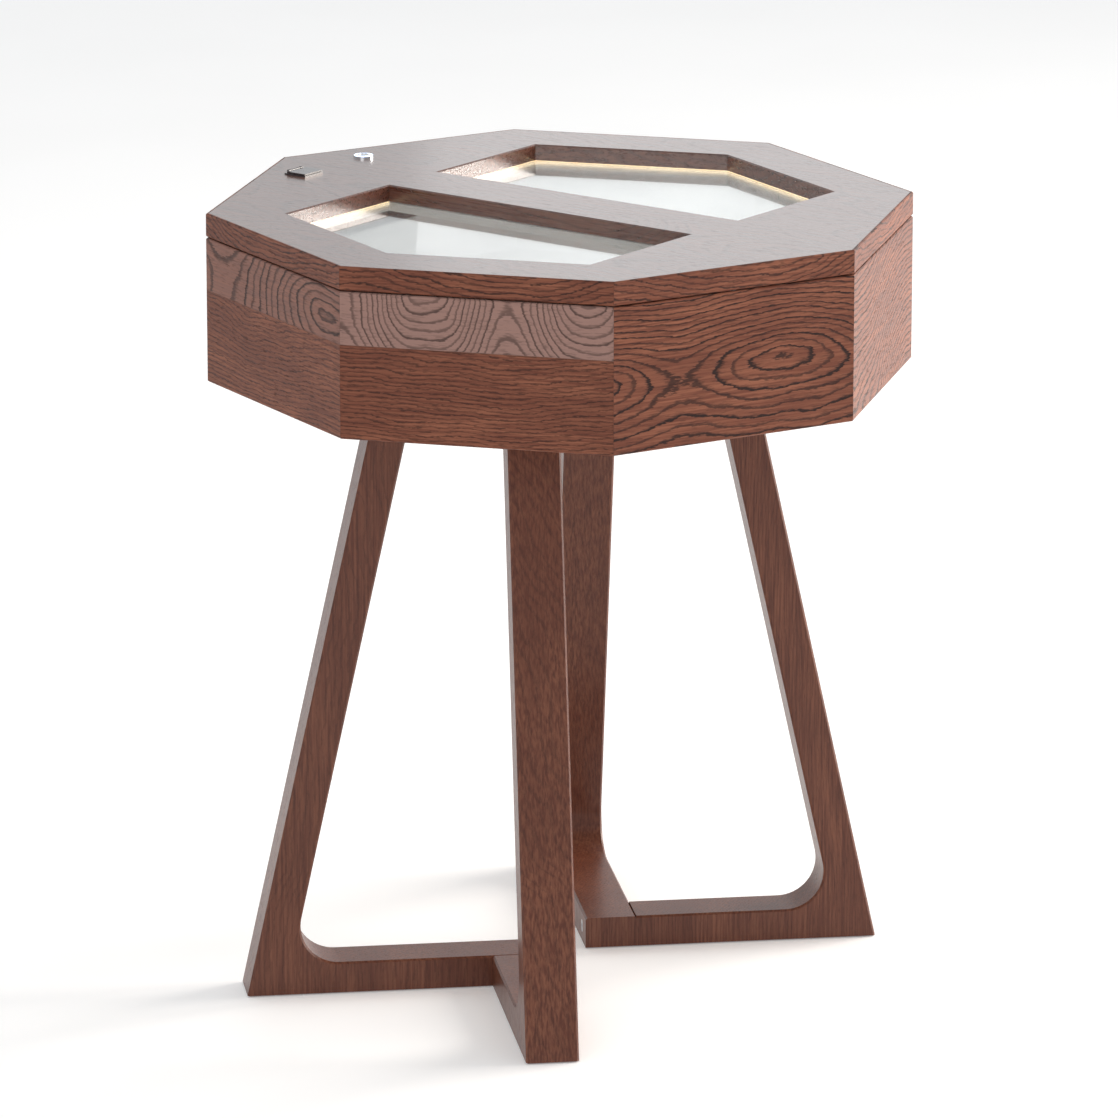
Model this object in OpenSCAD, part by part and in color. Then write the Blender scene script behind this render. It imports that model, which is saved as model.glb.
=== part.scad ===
// Octagonal side table with a lift-up lid, two lit glass windows, a push button and a
// covered charging port. The origin is on the floor under the middle of the top, +Z is up,
// and +X and +Y point at two corners of the octagon. The controls stand at the corner
// between -X and +Y, and the lid's centre bar runs from there to the corner opposite.

/* [Top] */
// Distance from the middle of the top to each corner of the octagon
top_r = 270; // [240:1:330]
// Height of the lid's top face above the floor
table_h = 600; // [450:5:760]
// Height of the box and the lid together
head_h = 130; // [115:1:180]
// Thickness of the lid
lid_t = 18; // [15:0.5:25]
// Thickness of the lid's edge strips
edging_t = 2; // [1.5:0.5:4]
// Shadow gap between the lid and the box
seam = 1; // [0.8:0.1:2]
// Chamfer on the long edges of the lid and the box
edge_c = 0.8; // [0.3:0.1:1.2]

/* [Box] */
// Thickness of the eight side boards
wall_t = 15; // [13:0.5:20]
// Thickness of the bottom board
base_t = 12; // [9:0.5:16]
// How far the bottom board sits above the sides' lower edge
base_recess = 6; // [3:0.5:12]
// Depth of the groove that holds the bottom board
groove_d = 6; // [4:0.5:8]
// Clear height under the display floor, for plates and bolt heads
service_h = 12; // [9:0.5:18]
// Thickness of the display floor
display_t = 4; // [3:0.5:6]
// Thickness of the pale lining on the side boards
lining_t = 2; // [1:0.5:4]

/* [Windows] */
// Half of the centre bar's width
bar_half = 30; // [24:0.5:40]
// Distance from each window's sloping edges to the lid's outer edge
slope_margin = 52; // [40:1:70]
// Distance from each window's straight end to the lid corner on the bar's line
end_margin = 128; // [110:1:150]
// Chamfer on the windows' upper edges
window_c = 1; // [0.4:0.1:1.5]
// Thickness of the glass
glass_t = 4; // [3:0.5:6]
// How far the glass runs under the wood on every side
glass_lap = 7.4; // [6:0.2:10]
// Depth of the beads' tongue, from the lid's underside up to the glass
tongue_h = 1.5; // [1:0.1:3]
// Width of the beads that hold the glass
bead_w = 18; // [15:0.5:20]
// Height of the light diffuser under the glass
diffuser_h = 4.8; // [4:0.1:8]
// Thickness of the light diffuser
diffuser_t = 3; // [2:0.1:4]

/* [Base] */
// Reach of each foot from the middle, at the floor
foot_reach = 251; // [215:1:300]
// Reach of each leg's outer face from the middle, where it meets the box
leg_reach = 148; // [125:1:175]
// Thickness of the legs in the direction of their lean
leg_t = 28; // [24:0.5:36]
// Width of the legs and foot bars
leg_w = 40; // [34:0.5:50]
// Distance of each leg frame's middle plane from the middle of the table
leg_offset = 42; // [36:0.5:55]
// Height of the foot bars
foot_h = 24; // [20:0.5:34]
// Radius of the inner corner between a leg and its foot bar
fillet_r = 30; // [15:1:45]
// Chamfer on the long edges of the leg frames
leg_c = 1.5; // [0.5:0.1:2.5]
// How far the felt glides stand below the foot bars
glide_proud = 1; // [0.5:0.1:3]

/* [Controls] */
// Distance of the button and the port from the lining's corner, along the bar's line
control_inset = 31.6; // [30:0.1:38]
// Distance of the button and the port from the bar's line
control_side = 37; // [34:0.5:40]
// Radius of the button's steel rim
button_r = 8; // [7.5:0.1:9]
// Travel of the push button
button_travel = 1; // [0.6:0.1:1.5]
// Size of the port's flange along the bar
port_l = 20; // [18:0.5:24]
// Size of the port's flange across the bar
port_w = 22; // [20:0.5:26]

/* [Hidden] */
$fn = 64;

// Colours
walnut = [0.42, 0.26, 0.21];
dark_walnut = [0.33, 0.20, 0.17];
plywood = [0.76, 0.62, 0.45];
laminate = [0.92, 0.92, 0.90];
beech = [0.80, 0.64, 0.46];
steel = [0.72, 0.73, 0.75];
brass = [0.72, 0.58, 0.34];
black_plastic = [0.08, 0.08, 0.09];
felt = [0.30, 0.28, 0.26];
clear = [0.80, 0.88, 0.90, 0.35];
warm_light = [1.00, 0.90, 0.68];
cool_light = [0.80, 0.90, 1.00];
board_green = [0.10, 0.35, 0.20];

// Octagon and levels
half_turn = 22.5;
corner_k = cos(half_turn);
apothem = top_r * corner_k;
lid_z1 = table_h;
lid_z0 = table_h - lid_t;
box_z1 = lid_z0 - seam;
box_z0 = table_h - head_h;
seat_fit = 0.2;
mitre_gap = 0.1;
wall_in = apothem - wall_t;
base_z0 = box_z0 + base_recess;
base_z1 = base_z0 + base_t;
display_z0 = base_z1 + service_h;
display_z1 = display_z0 + display_t;
lining_in = wall_in - lining_t;
lining_gap = 2.5;

// Loose keys in the mitres of the side boards
key_t = 3;
key_w = 12;
key_l = box_z1 - display_z0 - 20;
key_z = (box_z1 + display_z0) / 2;
key_mid_r = (wall_in / corner_k + top_r) / 2 - 2.5;

// Leg frames: left, right, front and rear
leg_names = ["left_leg_frame", "right_leg_frame", "front_leg_frame", "rear_leg_frame"];
leg_turn = [180, 0, -90, 90];
leg_side = [1, 1, -1, -1];
leg_through = [true, false, false, true];
butt_legs = [1, 2];
lean = (foot_reach - leg_reach) / box_z0;
lean_len = sqrt(1 + lean * lean);
bar_z0 = glide_proud;
bar_z1 = bar_z0 + foot_h;
bar_mid_z = (bar_z0 + bar_z1) / 2;
block_in = leg_offset - leg_w / 2;
block_out = leg_offset + leg_w / 2;
leg_top_s = outer_s(base_z0) - leg_t * lean_len / 2;
inner_corner = [inner_s(bar_z1), bar_z1];
fillet_reach = fillet_r * (lean_len + lean);
fillet_mid = [inner_corner[0] - fillet_reach, bar_z1 + fillet_r];
fillet_touch = inner_corner + fillet_reach / lean_len * [-lean, 1];

// Leg fastenings
bolt_gap = leg_w / 2;
bolt_r = 3;
bolt_hole_r = 3.3;
bolt_head_r = 5;
bolt_head_h = 3.3;
insert_r = 4.5;
insert_l = 15;
bolt_below = 13;
plate_l = 56;
plate_w = 34;
plate_t = 3;
dowel_r = 4;
dowel_gap = leg_w * 0.275;
dowel_in = leg_w * 0.4;
dowel_out = 20;
corner_screw_r = 3;
corner_screw_head_r = 5;
corner_screw_head_h = 3;
corner_screw_l = leg_w + 34;
glide_r = 10;
glide_t = 3;
glide_inset = 24;

// Hinges on the rear board that is nearest the controls
hinge_side = 3;
hinge_places = [-60, 60];
leaf_l = 50;
leaf_d = 12;
leaf_t = 1.5;
leaf_fit = 0.1;
barrel_r = 3;
barrel_out = barrel_r + 0.4;
barrel_z = (lid_z0 + box_z1) / 2;
barrel_fit = 0.3;
middle_l = 16;
hinge_pin_r = 1.5;
pin_fit = 0.05;
leaf_screw_x = leaf_d / 2 + 0.5;
leaf_screw_places = [-18, 0, 18];
leaf_screw_r = 1.5;
leaf_screw_head_r = 2.6;
leaf_screw_l = 11;

// Catch opposite the hinges, and the pads that carry the closed lid
catch_side = 7;
magnet_r = 5;
magnet_t = 3;
strike_r = 5;
strike_t = 1.2;
bumper_r = 4;
rest_gap = 0.3;
bumper_y = 62;
rim_mid = apothem - wall_t / 2;

// Windows, in the lid's own axes: X along the centre bar, Y across it
window_end = top_r - end_margin;
window_apex = (apothem - slope_margin) / corner_k;
window_edges = 5;
bar_edge = 0;
glass_z0 = lid_z0 + tongue_h;
rebate_g = glass_lap + 0.4;
strip_gap = 0.1;
strip_t = 1.4;
pocket_g = diffuser_t + strip_gap + strip_t + 0.3;
bead_lip = 2;
diffuser_z0 = glass_z0 - diffuser_h;
bead_z0 = diffuser_z0 - bead_lip;
bead_screw_g = (pocket_g + bead_w) / 2;
bead_screw_r = 1.25;
bead_screw_head_r = 2.4;
bead_screw_l = bead_lip + diffuser_h + 7;
lead_r = 1.2;
lead_z = (bead_z0 + lid_z0) / 2;
lead_side = bar_half + 12;

// Housing for the battery and the board, under the lid beside the controls
control_x = control_inset - lining_in / corner_k;
housing_t = 1.6;
housing_gap = 1.5;
housing_h = 24;
housing_z0 = lid_z0 - housing_h;
housing_tip = (lining_in - housing_gap) / corner_k;
housing_half = 52;
housing_end = window_end + bead_w + 6;
housing_boss_r = 3.5;
housing_screw_r = 1.4;
housing_screw_head_r = 2.8;
housing_screw_l = housing_h + 9;
boss_inset = 6;
post_h = 4;
post_r = 2.5;
post_inset = 3;
board_l = 28;
board_w = 60;
board_t = 1.6;
board_x = -housing_end - board_l / 2 - 8;
board_y = -8;
board_z0 = housing_z0 + housing_t + post_h;
battery_l = 34;
battery_w = 50;
battery_t = 8;
battery_x = -housing_end - battery_l / 2 - 4;
battery_y = -14;

// Push button
rim_t = 0.8;
flange_t = 0.8;
flange_in_r = 4.8;
ring_h = 1.1;
cap_fit = 0.2;
cap_r = flange_in_r - cap_fit;
cap_rise = 1.6;
barrel_button_r = button_r - 1.6;
barrel_bore_r = barrel_button_r - 0.8;
barrel_l = lid_t + 8;
stem_r = 2;
switch_z1 = lid_z0 + 0.6;
switch_l = 13;
nut_t = 3;
nut_r = barrel_button_r + 2.6;

// Charging port with its flip-up cover
port_x = control_x;
port_y = -control_side;
port_flange_t = 1;
port_body_l = port_l - 5;
port_body_w = port_w - 5;
port_body_h = lid_t + 8;
port_fit = 0.2;
cover_t = 1.1;
cover_gap = 0.3;
knuckle_r = 1.2;
knuckle_x = -port_l / 2 + knuckle_r + 0.3;
knuckle_z = table_h + port_flange_t + knuckle_r;
ear_in = 5.9;
ear_out = 8.5;
port_pin_r = 0.6;
knuckle_fit = 0.2;
socket_w = 9;
socket_t = 3.2;
socket_wall = 0.3;
socket_h = 7.5;
socket_drop = 1.2;

function outer_s(z) = foot_reach - lean * z;
function inner_s(z) = outer_s(z) - leg_t * lean_len;
function side_angle(i) = half_turn + 45 * (i - 1);

// The window's five corners, grown outwards by g, for the window on the +Y side
function window_points(g) =
    let (e = window_end + g, a = window_apex + g / corner_k, s = a - e * tan(half_turn))
    [[-e, bar_half - g], [e, bar_half - g], [e, s], [0, a], [-e, s]];

// The strip along one edge of the window, between two amounts of growth
function edge_quad(i, g0, g1) =
    let (p = window_points(g0), q = window_points(g1), j = (i + 1) % window_edges)
    [p[i], p[j], q[j], q[i]];

// Two points on each window edge, grown by g, where the bead screws go
function bead_screw_points(g) =
    let (p = window_points(g))
    [for (i = [0:window_edges - 1]) for (f = [0.2, 0.8])
        p[i] + f * (p[(i + 1) % window_edges] - p[i])];

module on_side(i) {
    rotate([0, 0, side_angle(i)]) children();
}

module on_corner(i) {
    rotate([0, 0, 45 * i]) children();
}

// The lid's own axes: X along the centre bar away from the controls, Y across it
module in_lid_axes() {
    rotate([0, 0, -45]) children();
}

// The rear window as drawn, and the front window as its mirror image
module for_window(front) {
    in_lid_axes() mirror([0, front ? 1 : 0, 0]) children();
}

module on_leg(n) {
    rotate([0, 0, leg_turn[n]]) translate([0, leg_side[n] * leg_offset, 0]) children();
}

module octagon_plate(half_flat, z0, z1) {
    translate([0, 0, z0]) cylinder(h = z1 - z0, r = half_flat / corner_k, $fn = 8);
}

// One side's share of a ring, cut at the octagon's corners
module mitre_wedge() {
    far = 2 * top_r;
    start = mitre_gap / 2 / sin(half_turn);
    side = (far - start) * tan(half_turn);
    linear_extrude(table_h + 50) polygon([[start, 0], [far, -side], [far, side]]);
}

// A bar along one side, from its outline in distance from the middle and height
module mitred_bar(outline) {
    intersection() {
        rotate([90, 0, 0]) linear_extrude(2 * top_r, center = true) polygon(outline);
        mitre_wedge();
    }
}

// A screw with its head's face at the origin, pointing to -Z
module screw_shape(head_r, head_h, shank_r, length) {
    translate([0, 0, -head_h]) cylinder(h = head_h, r1 = shank_r, r2 = head_r);
    translate([0, 0, shank_r - length]) cylinder(h = length - shank_r - head_h, r = shank_r);
    translate([0, 0, -length]) cylinder(h = shank_r, r1 = shank_r / 6, r2 = shank_r);
}

module cross_slot(head_r, depth) {
    for (a = [0, 90]) {
        rotate([0, 0, a]) translate([0, 0, -depth / 2 + 0.05])
            cube([head_r * 1.1, head_r * 0.22, depth + 0.1], center = true);
    }
}

module wood_screw(head_r, head_h, shank_r, length) {
    difference() {
        screw_shape(head_r, head_h, shank_r, length);
        cross_slot(head_r, head_h * 0.6);
    }
}

// ---------------------------------------------------------------- box

module key_shape(fit) {
    translate([key_mid_r, 0, key_z])
        cube([key_t, key_w + fit, key_l + fit], center = true);
}

module leaf_screw_spots() {
    for (y = hinge_places) {
        for (v = leaf_screw_places) {
            translate([apothem - leaf_screw_x, y + v, 0]) children();
        }
    }
}

module box_leaf_screws() {
    leaf_screw_spots() translate([0, 0, box_z1])
        screw_shape(leaf_screw_head_r, leaf_t, leaf_screw_r, leaf_screw_l);
}

module box_leaf_pocket() {
    for (y = hinge_places) {
        translate([apothem - leaf_d - leaf_fit, y - leaf_l / 2 - leaf_fit, box_z1 - leaf_t])
            cube([leaf_d + 5, leaf_l + 2 * leaf_fit, leaf_t + 5]);
    }
}

module side_panel(i) {
    outline = [
        [wall_in, box_z0], [apothem - edge_c, box_z0], [apothem, box_z0 + edge_c],
        [apothem, box_z1 - edge_c], [apothem - edge_c, box_z1], [wall_in, box_z1],
        [wall_in, base_z1], [wall_in + groove_d, base_z1],
        [wall_in + groove_d, base_z0], [wall_in, base_z0]
    ];
    color(walnut) on_side(i) difference() {
        mitred_bar(outline);
        for (a = [-half_turn, half_turn]) {
            rotate([0, 0, a]) key_shape(seat_fit);
        }
        if (i == hinge_side) {
            box_leaf_pocket();
            box_leaf_screws();
        }
        if (i == catch_side) {
            translate([rim_mid, 0, box_z1 - magnet_t]) cylinder(h = magnet_t + 1, r = magnet_r);
        }
    }
}

module mitre_keys() {
    color(plywood) for (i = [1:8]) {
        on_corner(i) key_shape(0);
    }
}

module corner_blocks() {
    leg = 34;
    tip = wall_in / corner_k;
    back = tip - leg * sin(half_turn);
    color(beech) for (i = [1:8]) {
        on_corner(i) translate([0, 0, base_z1]) linear_extrude(service_h)
            polygon([[tip, 0], [back, leg * corner_k], [back, -leg * corner_k]]);
    }
}

module bottom_panel() {
    color(plywood) difference() {
        octagon_plate(wall_in + groove_d - seat_fit, base_z0, base_z1);
        leg_bolt_spots() translate([0, 0, base_z0 - 1]) cylinder(h = base_t + 2, r = bolt_hole_r);
    }
}

module floor_battens() {
    long = 1.3 * wall_in;
    wide = 16;
    away = leg_offset + plate_l / 2 + wide / 2 + 6;
    color(beech) for (side = [-1, 1]) {
        translate([-long / 2, side * away - wide / 2, base_z1]) cube([long, wide, service_h]);
    }
}

module display_floor() {
    color(laminate) octagon_plate(wall_in - seat_fit, display_z0, display_z1);
}

module wall_lining() {
    top = box_z1 - lining_gap;
    outline = [[lining_in, display_z1], [wall_in, display_z1], [wall_in, top], [lining_in, top]];
    color(laminate) for (i = [1:8]) {
        on_side(i) mitred_bar(outline);
    }
}

module lid_bumpers() {
    color(felt) for (i = [1:8]) {
        on_side(i) translate([rim_mid, i == hinge_side ? 0 : bumper_y, box_z1])
            cylinder(h = seam - rest_gap, r = bumper_r);
    }
}

module catch_magnet() {
    color(steel) on_side(catch_side) translate([rim_mid, 0, box_z1 - magnet_t])
        cylinder(h = magnet_t, r = magnet_r);
}

// ---------------------------------------------------------------- base

module leg_outline(through) {
    start = through ? block_in : block_out;
    polygon([
        [start, bar_z0], [outer_s(bar_z0), bar_z0], [outer_s(base_z0), base_z0],
        [inner_s(base_z0), base_z0], inner_corner, [start, bar_z1]
    ]);
    difference() {
        polygon([
            inner_corner + [1, -1], fillet_touch + [1, 0], fillet_touch, fillet_mid,
            [fillet_mid[0], bar_z1], [fillet_mid[0], bar_z1 - 1]
        ]);
        translate(fillet_mid) circle(fillet_r);
    }
}

// Diamond bar that chamfers the edge from p to q, given as distance out and height
module edge_cutter(p, q, depth) {
    run = norm(q - p);
    half = depth / sqrt(2);
    translate([p[0], 0, p[1]]) rotate([0, -atan2(q[1] - p[1], q[0] - p[0]), 0])
        rotate([45, 0, 0]) translate([-1, -half, -half]) cube([run + 2, 2 * half, 2 * half]);
}

module leg_chamfers(through) {
    start = through ? block_in : block_out;
    for (side = [-1, 1]) {
        translate([0, side * leg_w / 2, 0]) {
            edge_cutter([outer_s(bar_z0), bar_z0], [outer_s(base_z0), base_z0], leg_c);
            edge_cutter(fillet_touch, [inner_s(base_z0), base_z0], leg_c);
            edge_cutter([start, bar_z1], [fillet_mid[0], bar_z1], leg_c);
            translate([fillet_mid[0], 0, fillet_mid[1]]) rotate([90, 0, 0]) rotate_extrude()
                translate([fillet_r, 0]) rotate(45) square(leg_c * sqrt(2), center = true);
        }
    }
}

// The two corner joints, in the butting leg's own axes: X along its foot bar
module corner_dowel_shapes() {
    for (n = butt_legs) {
        for (side = [-1, 1]) {
            on_leg(n) translate([block_out - dowel_in, side * dowel_gap, bar_mid_z])
                rotate([0, 90, 0]) cylinder(h = dowel_in + dowel_out, r = dowel_r);
        }
    }
}

module at_corner_screws() {
    for (n = butt_legs) {
        on_leg(n) translate([block_in, 0, bar_mid_z]) rotate([0, -90, 0]) children();
    }
}

module leg_bolt_spots() {
    for (n = [0:3]) {
        for (side = [-1, 1]) {
            on_leg(n) translate([leg_top_s, side * bolt_gap / 2, 0]) children();
        }
    }
}

module glide_spots() {
    for (n = [0:3]) {
        for (s = [block_out + glide_inset - 4, foot_reach - glide_inset]) {
            on_leg(n) translate([s, 0, 0]) children();
        }
    }
}

module leg_frame(n) {
    color(dark_walnut) difference() {
        on_leg(n) difference() {
            rotate([90, 0, 0]) linear_extrude(leg_w, center = true)
                leg_outline(leg_through[n]);
            leg_chamfers(leg_through[n]);
        }
        corner_dowel_shapes();
        at_corner_screws() screw_shape(corner_screw_head_r, corner_screw_head_h,
            corner_screw_r, corner_screw_l);
        leg_bolt_spots() translate([0, 0, base_z0 - insert_l])
            cylinder(h = insert_l + 1, r = insert_r);
        glide_spots() translate([0, 0, -1]) cylinder(h = glide_t + 1, r = glide_r);
    }
}

module corner_dowels() {
    color(beech) corner_dowel_shapes();
}

module corner_screws() {
    color(steel) at_corner_screws() difference() {
        screw_shape(corner_screw_head_r, corner_screw_head_h, corner_screw_r, corner_screw_l);
        translate([0, 0, -2]) cylinder(h = 3, r = 2.2, $fn = 6);
    }
}

module leg_inserts() {
    color(brass) leg_bolt_spots() translate([0, 0, base_z0 - insert_l]) difference() {
        cylinder(h = insert_l, r = insert_r);
        translate([0, 0, insert_l - bolt_below]) cylinder(h = bolt_below + 1, r = bolt_r);
    }
}

module leg_plates() {
    color(steel) for (n = [0:3]) {
        on_leg(n) difference() {
            translate([leg_top_s - plate_w / 2, -plate_l / 2, base_z1])
                cube([plate_w, plate_l, plate_t]);
            for (side = [-1, 1]) {
                translate([leg_top_s, side * bolt_gap / 2, base_z1 - 1])
                    cylinder(h = plate_t + 2, r = bolt_hole_r);
            }
        }
    }
}

module leg_bolts() {
    color(steel) leg_bolt_spots() difference() {
        union() {
            translate([0, 0, base_z0 - bolt_below])
                cylinder(h = bolt_below + base_t + plate_t + 0.5, r = bolt_r);
            translate([0, 0, base_z1 + plate_t]) cylinder(h = bolt_head_h, r = bolt_head_r);
        }
        translate([0, 0, base_z1 + plate_t + 1]) cylinder(h = bolt_head_h, r = 2.3, $fn = 6);
    }
}

module floor_glides() {
    color(felt) glide_spots() cylinder(h = glide_t, r = glide_r);
}

// ---------------------------------------------------------------- hinges and catch

// One leaf with its share of the barrel, for a hinge whose middle is at y = 0
module hinge_leaf(z0, middle) {
    spans = middle
        ? [[-middle_l / 2, middle_l / 2]]
        : [[-leaf_l / 2, -middle_l / 2 - barrel_fit], [middle_l / 2 + barrel_fit, leaf_l / 2]];
    bore_r = middle ? hinge_pin_r + pin_fit : hinge_pin_r;
    difference() {
        union() {
            translate([apothem - leaf_d, -leaf_l / 2, z0]) cube([leaf_d, leaf_l, leaf_t]);
            for (span = spans) {
                translate([apothem - 1, span[0], z0])
                    cube([barrel_out + 1, span[1] - span[0], leaf_t]);
                translate([apothem + barrel_out, span[0], barrel_z]) rotate([-90, 0, 0])
                    cylinder(h = span[1] - span[0], r = barrel_r);
            }
        }
        translate([apothem + barrel_out, -leaf_l, barrel_z]) rotate([-90, 0, 0])
            cylinder(h = 2 * leaf_l, r = bore_r);
    }
}

module box_hinge_leaves() {
    color(brass) on_side(hinge_side) difference() {
        for (y = hinge_places) {
            translate([0, y, 0]) hinge_leaf(box_z1 - leaf_t, false);
        }
        box_leaf_screws();
    }
}

module lid_hinge_leaves() {
    color(brass) on_side(hinge_side) difference() {
        for (y = hinge_places) {
            translate([0, y, 0]) hinge_leaf(lid_z0, true);
        }
        lid_leaf_screws();
    }
}

module hinge_pins() {
    color(steel) on_side(hinge_side) for (y = hinge_places) {
        translate([apothem + barrel_out, y - leaf_l / 2 - 0.6, barrel_z]) rotate([-90, 0, 0])
            cylinder(h = leaf_l + 1.2, r = hinge_pin_r);
    }
}

module box_hinge_screws() {
    color(brass) on_side(hinge_side) leaf_screw_spots() translate([0, 0, box_z1])
        wood_screw(leaf_screw_head_r, leaf_t, leaf_screw_r, leaf_screw_l);
}

module lid_leaf_screws() {
    leaf_screw_spots() translate([0, 0, lid_z0]) rotate([180, 0, 0])
        screw_shape(leaf_screw_head_r, leaf_t, leaf_screw_r, leaf_screw_l);
}

module lid_hinge_screws() {
    color(brass) on_side(hinge_side) leaf_screw_spots() translate([0, 0, lid_z0])
        rotate([180, 0, 0]) wood_screw(leaf_screw_head_r, leaf_t, leaf_screw_r, leaf_screw_l);
}

module lid_leaf_pocket() {
    for (y = hinge_places) {
        translate([apothem - leaf_d - leaf_fit, y - leaf_l / 2 - leaf_fit, lid_z0 - 5])
            cube([leaf_d + 5, leaf_l + 2 * leaf_fit, leaf_t + 5]);
    }
}

module catch_plate() {
    color(steel) on_side(catch_side) translate([rim_mid, 0, lid_z0])
        cylinder(h = strike_t, r = strike_r);
}

// ---------------------------------------------------------------- lid

module window_chamfer(i) {
    p = window_points(0);
    a = p[i];
    b = p[(i + 1) % window_edges];
    half = window_c / sqrt(2);
    intersection() {
        translate([a[0], a[1], lid_z1]) rotate([0, 0, atan2(b[1] - a[1], b[0] - a[0])])
            rotate([45, 0, 0]) translate([-5, -half, -half])
            cube([norm(b - a) + 10, 2 * half, 2 * half]);
        translate([0, 0, lid_z1 - 3]) linear_extrude(6) polygon(edge_quad(i, -3, window_c + 1));
    }
}

module bead_screw_shapes() {
    for (p = bead_screw_points(bead_screw_g)) {
        translate([p[0], p[1], bead_z0]) rotate([180, 0, 0])
            screw_shape(bead_screw_head_r, bead_lip * 0.8, bead_screw_r, bead_screw_l);
    }
}

module window_cuts() {
    translate([0, 0, lid_z0 - 1]) linear_extrude(lid_t + 2) polygon(window_points(0));
    translate([0, 0, lid_z0 - 1]) linear_extrude(tongue_h + glass_t + 1)
        polygon(window_points(rebate_g));
    for (i = [0:window_edges - 1]) {
        window_chamfer(i);
    }
    bead_screw_shapes();
}

module lid_panel() {
    color(walnut) difference() {
        octagon_plate(apothem - edging_t, lid_z0, lid_z1);
        for_window(false) window_cuts();
        for_window(true) window_cuts();
        in_lid_axes() {
            translate([control_x, control_side, lid_z0 - 1])
                cylinder(h = lid_t + 2, r = barrel_button_r + 0.1);
            translate([port_x, port_y, lid_z0 + lid_t / 2])
                cube([port_body_l + port_fit, port_body_w + port_fit, lid_t + 2], center = true);
            housing_screw_shapes();
        }
        on_side(hinge_side) {
            lid_leaf_pocket();
            lid_leaf_screws();
        }
        on_side(catch_side) translate([rim_mid, 0, lid_z0 - 1])
            cylinder(h = strike_t + 1, r = strike_r);
    }
}

module lid_edging() {
    inner = apothem - edging_t;
    outline = [
        [inner, lid_z0], [apothem - edge_c, lid_z0], [apothem, lid_z0 + edge_c],
        [apothem, lid_z1 - edge_c], [apothem - edge_c, lid_z1], [inner, lid_z1]
    ];
    color(walnut) for (i = [1:8]) {
        on_side(i) difference() {
            mitred_bar(outline);
            if (i == hinge_side) {
                lid_leaf_pocket();
            }
        }
    }
}

module glass(front) {
    color(clear) for_window(front) translate([0, 0, glass_z0]) linear_extrude(glass_t)
        polygon(window_points(glass_lap));
}

module bead_bar(i) {
    pocket = i == bar_edge ? 0 : pocket_g;
    tongue_g = rebate_g - 0.2;
    translate([0, 0, bead_z0]) linear_extrude(bead_lip) polygon(edge_quad(i, 0, bead_w));
    translate([0, 0, bead_z0]) linear_extrude(lid_z0 - bead_z0)
        polygon(edge_quad(i, pocket, bead_w));
    translate([0, 0, bead_z0]) linear_extrude(glass_z0 - bead_z0)
        polygon(edge_quad(i, pocket, tongue_g));
}

module lead_shape() {
    translate([-housing_end - 4, lead_side, lead_z]) rotate([0, 90, 0])
        cylinder(h = housing_end + 4 - window_end - diffuser_t - strip_gap - strip_t, r = lead_r);
}

module glass_beads(front) {
    color(laminate) for_window(front) for (i = [0:window_edges - 1]) {
        difference() {
            bead_bar(i);
            bead_screw_shapes();
            lead_shape();
        }
    }
}

module light_bars(g0, g1, z0, z1) {
    for (i = [bar_edge + 1:window_edges - 1]) {
        translate([0, 0, z0]) linear_extrude(z1 - z0) polygon(edge_quad(i, g0, g1));
    }
}

module diffuser(front) {
    color(warm_light) for_window(front)
        light_bars(0, diffuser_t, diffuser_z0, glass_z0);
}

module led_strip(front) {
    inner_g = diffuser_t + strip_gap;
    color(laminate) for_window(front)
        light_bars(inner_g, inner_g + strip_t, diffuser_z0, glass_z0 - 0.3);
}

module bead_screws() {
    color(steel) for (front = [false, true]) {
        for_window(front) for (p = bead_screw_points(bead_screw_g)) {
            translate([p[0], p[1], bead_z0]) rotate([180, 0, 0])
                wood_screw(bead_screw_head_r, bead_lip * 0.8, bead_screw_r, bead_screw_l);
        }
    }
}

module led_leads() {
    color(laminate) for (front = [false, true]) {
        for_window(front) lead_shape();
    }
}

// ---------------------------------------------------------------- controls

function housing_points(shrink) =
    let (tip = housing_tip - shrink / corner_k, half = housing_half - shrink)
    [
        [-tip, 0], [-tip + half * tan(half_turn), -half], [-housing_end - shrink, -half],
        [-housing_end - shrink, half], [-tip + half * tan(half_turn), half]
    ];

housing_screw_points = [
    [-housing_tip + housing_t + boss_inset, 0],
    [-housing_end - boss_inset, -housing_half + boss_inset],
    [-housing_end - boss_inset, housing_half - boss_inset]
];

module housing_screw_shapes() {
    for (p = housing_screw_points) {
        translate([p[0], p[1], housing_z0]) rotate([180, 0, 0])
            screw_shape(housing_screw_head_r, housing_t * 0.9, housing_screw_r,
                housing_screw_l);
    }
}

module control_housing() {
    color(black_plastic) in_lid_axes() difference() {
        union() {
            difference() {
                translate([0, 0, housing_z0]) linear_extrude(housing_h)
                    polygon(housing_points(0));
                translate([0, 0, housing_z0 + housing_t]) linear_extrude(housing_h)
                    polygon(housing_points(housing_t));
            }
            for (p = housing_screw_points) {
                translate([p[0], p[1], housing_z0]) cylinder(h = housing_h, r = housing_boss_r);
            }
            for (x = [-1, 1]) {
                for (y = [-1, 1]) {
                    translate([board_x + x * (board_l / 2 - post_inset),
                        board_y + y * (board_w / 2 - post_inset), housing_z0])
                        cylinder(h = housing_t + post_h, r = post_r);
                }
            }
        }
        housing_screw_shapes();
        lead_shape();
        mirror([0, 1, 0]) lead_shape();
    }
}

module housing_screws() {
    color(steel) in_lid_axes() for (p = housing_screw_points) {
        translate([p[0], p[1], housing_z0]) rotate([180, 0, 0])
            wood_screw(housing_screw_head_r, housing_t * 0.9, housing_screw_r,
                housing_screw_l);
    }
}

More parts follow.
